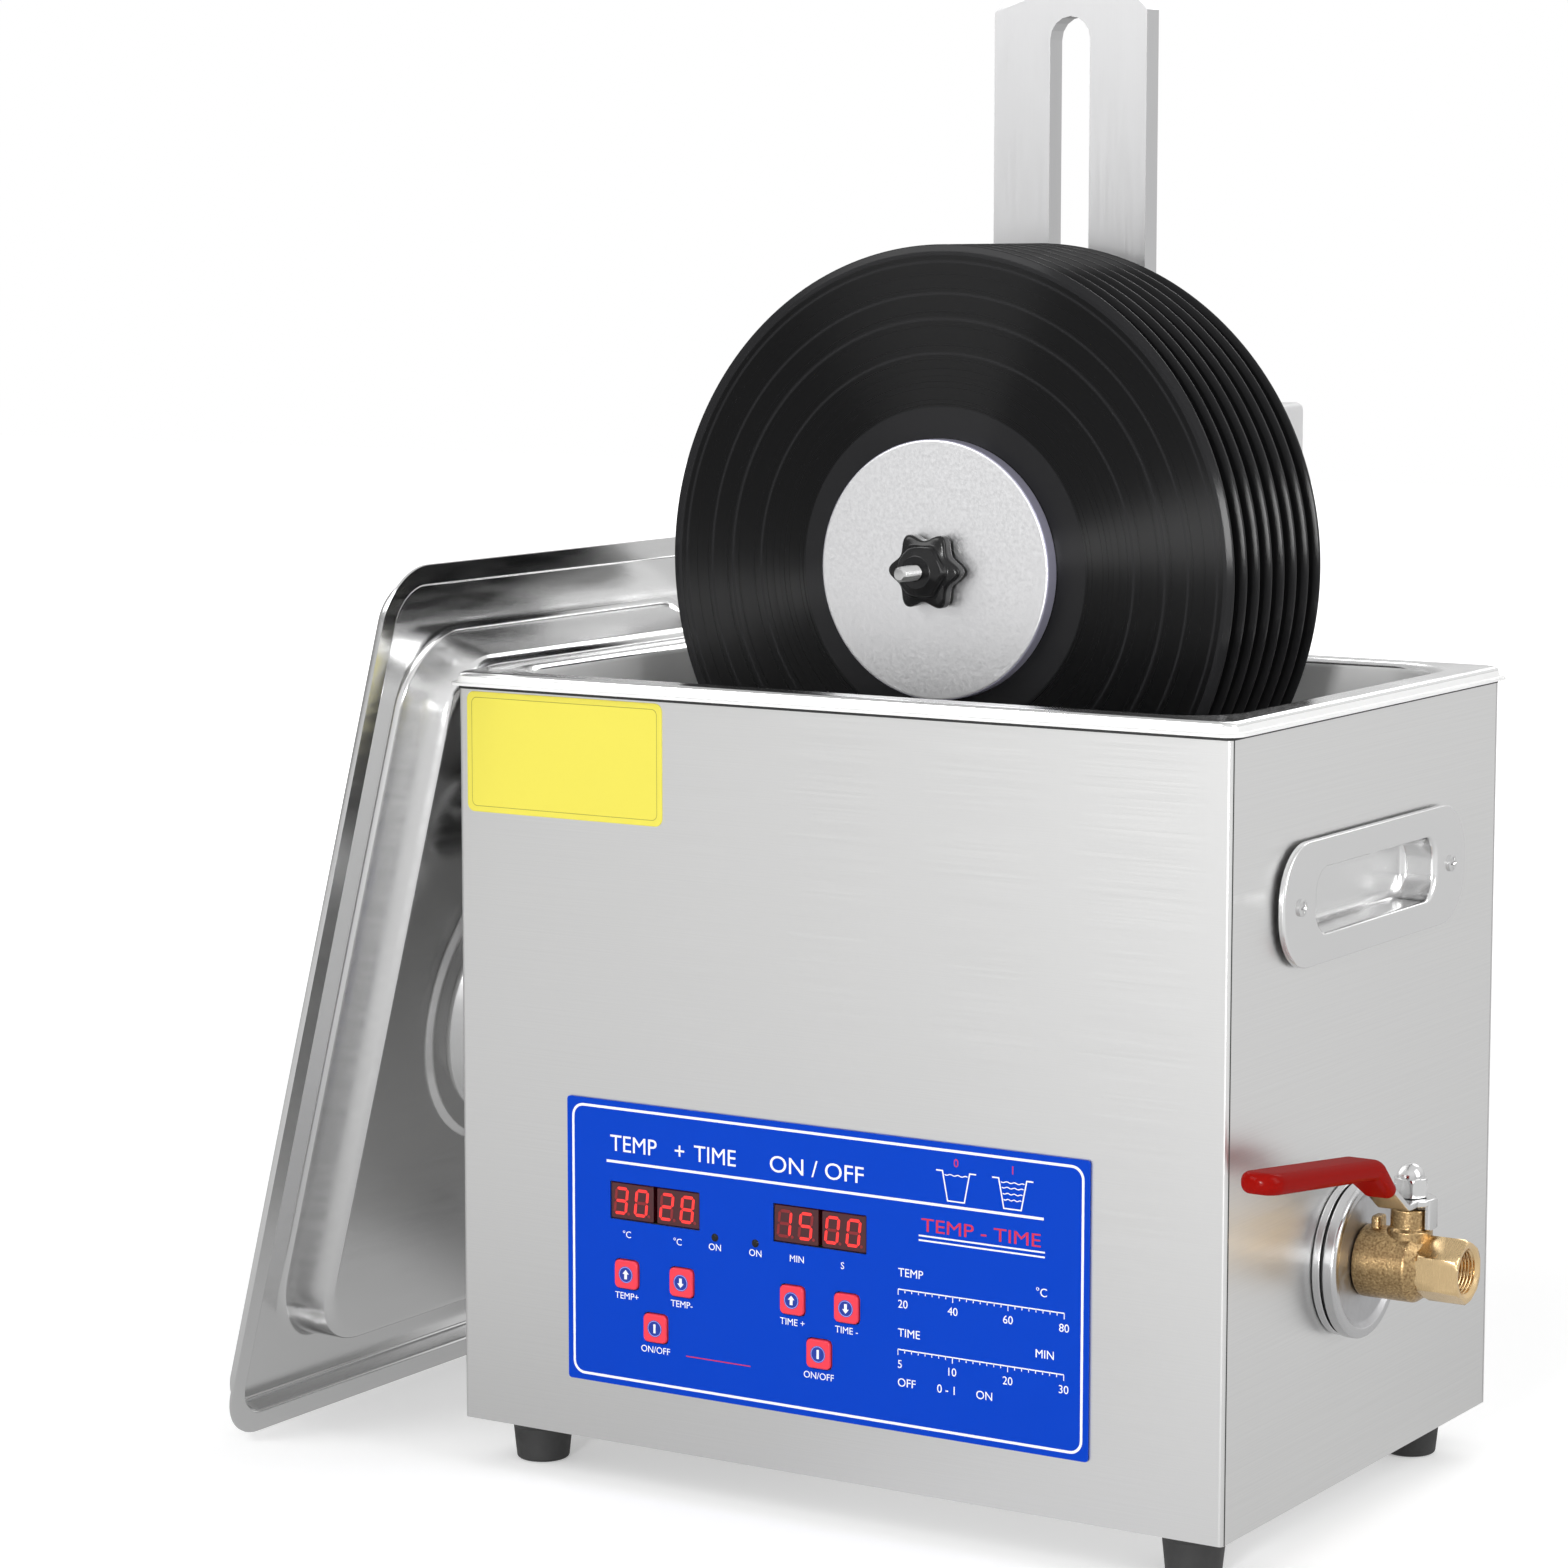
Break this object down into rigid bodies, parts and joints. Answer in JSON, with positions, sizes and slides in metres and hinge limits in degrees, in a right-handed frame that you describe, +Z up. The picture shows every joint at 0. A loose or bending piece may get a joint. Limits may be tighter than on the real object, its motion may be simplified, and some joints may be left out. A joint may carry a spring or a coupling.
{
  "type": "record cleaning machine",
  "caption": "Bench-top ultrasonic bath that turns a stack of records on a motor-driven spindle over a slotted post, with control panel, drain valve and leaning lid.",
  "frame": {"origin": "middle of the whole object's box, on the floor under the feet", "axes": "+X right along the control panel's side, +Y back, +Z up"},
  "size_m": [0.4856, 0.3224, 0.587],
  "materials": {
    "brushed_steel": "fine horizontal brushing",
    "polished_steel": "bright polished stainless",
    "tank_steel": "smooth pressed stainless",
    "blue_overlay": "satin printed film",
    "red_button": "satin film over a key",
    "dark_display": "dark red window",
    "brass": "cast, with machined faces",
    "zinc": "zinc plated",
    "red_vinyl": "dipped grip",
    "black_rubber": "matt",
    "black_record": "grooved gloss",
    "satin_silver": "satin",
    "black_plastic": "gloss",
    "satin_aluminium": "satin anodised",
    "grey_paint": "fine satin paint",
    "green_board": "printed board",
    "grey_aluminium": "plain",
    "white_plastic": "plain"
  },
  "bodies": {
    "cleaner": {"housing_shell": "brushed_steel", "rear_panel": "brushed_steel", "base_plate": "brushed_steel", "foot_front_left": "black_rubber", "foot_front_right": "black_rubber", "foot_rear_left": "black_rubber", "foot_rear_right": "black_rubber", "tank": "tank_steel", "drain_pipe": "brass", "control_board": "green_board", "generator_board": "green_board", "transducer_1": "grey_aluminium", "transducer_2": "grey_aluminium", "transducer_3": "grey_aluminium", "control_overlay": "blue_overlay", "display_temperature": "dark_display", "display_timer": "dark_display", "handle_cup_right": "polished_steel", "handle_cup_left": "polished_steel", "valve_washer": "zinc", "valve_flange": "grey_aluminium", "valve_body": "brass", "power_inlet": "black_plastic", "bracket_plate": "satin_aluminium", "rim_saddle": "satin_aluminium"},
    "button_temperature_up_body": {"button_temperature_up": "red_button"},
    "button_temperature_down_body": {"button_temperature_down": "red_button"},
    "button_heat_body": {"button_heat": "red_button"},
    "button_time_up_body": {"button_time_up": "red_button"},
    "button_time_down_body": {"button_time_down": "red_button"},
    "button_timer_body": {"button_timer": "red_button"},
    "valve_handle": {"valve_stem": "zinc", "valve_lever": "zinc", "lever_grip": "red_vinyl", "lever_nut": "zinc"},
    "mains_rocker": {"rocker_switch": "black_plastic"},
    "carriage": {"motor_case": "grey_paint", "gear_motor": "grey_aluminium"},
    "clamp": {"clamp_knob": "black_plastic"},
    "spindle": {"spindle_rod": "zinc", "rear_label_plate": "satin_silver", "front_label_plate": "satin_silver", "record_1": "black_record", "record_2": "black_record", "record_3": "black_record", "record_4": "black_record", "record_5": "black_record", "record_6": "black_record", "record_7": "black_record", "record_8": "black_record", "spacer_1": "white_plastic", "spacer_2": "white_plastic", "spacer_3": "white_plastic", "spacer_4": "white_plastic", "spacer_5": "white_plastic", "spacer_6": "white_plastic", "spacer_7": "white_plastic"},
    "spindle_nut": {"star_knob": "black_plastic"},
    "cover": {"lid": "polished_steel", "lid_handle": "polished_steel"}
  },
  "joints": [
    {"name": "button_temperature_up_press", "type": "slide", "parent": "cleaner", "child": "button_temperature_up_body", "axis": [0, 1, 0], "range_m": [0, 0.0006], "stiffness_N_per_m": 300},
    {"name": "button_temperature_down_press", "type": "slide", "parent": "cleaner", "child": "button_temperature_down_body", "axis": [0, 1, 0], "range_m": [0, 0.0006], "stiffness_N_per_m": 300},
    {"name": "button_heat_press", "type": "slide", "parent": "cleaner", "child": "button_heat_body", "axis": [0, 1, 0], "range_m": [0, 0.0006], "stiffness_N_per_m": 300},
    {"name": "button_time_up_press", "type": "slide", "parent": "cleaner", "child": "button_time_up_body", "axis": [0, 1, 0], "range_m": [0, 0.0006], "stiffness_N_per_m": 300},
    {"name": "button_time_down_press", "type": "slide", "parent": "cleaner", "child": "button_time_down_body", "axis": [0, 1, 0], "range_m": [0, 0.0006], "stiffness_N_per_m": 300},
    {"name": "button_timer_press", "type": "slide", "parent": "cleaner", "child": "button_timer_body", "axis": [0, 1, 0], "range_m": [0, 0.0006], "stiffness_N_per_m": 300},
    {"name": "valve_turn", "type": "hinge", "parent": "cleaner", "child": "valve_handle", "pos_m": [0.21918, -0.02973, 0.10419], "axis": [0, 0, 1], "range_deg": [0, 90]},
    {"name": "mains_rocker_tilt", "type": "hinge", "parent": "cleaner", "child": "mains_rocker", "pos_m": [-0.03408, 0.10425, 0.0673], "axis": [1, 0, 0], "range_deg": [0, 16]},
    {"name": "carriage_lift", "type": "slide", "parent": "cleaner", "child": "carriage", "axis": [0, 0, 1], "range_m": [0, 0.158]},
    {"name": "clamp_turn", "type": "hinge", "parent": "carriage", "child": "clamp", "pos_m": [0.01678, 0.06845, 0.3986], "axis": [0, 1, 0], "range_deg": [0, 720]},
    {"name": "spindle_turn", "type": "hinge", "parent": "carriage", "child": "spindle", "pos_m": [0.01678, 0.06545, 0.3526], "axis": [0, 1, 0], "continuous": true},
    {"name": "spindle_nut_turn", "type": "hinge", "parent": "spindle", "child": "spindle_nut", "pos_m": [0.01678, -0.03975, 0.3526], "axis": [0, 1, 0], "continuous": true},
    {"name": "cover_lift_off", "type": "slide", "parent": "cleaner", "child": "cover", "axis": [0, 0, 1], "range_m": [0, 0.35]}
  ]
}
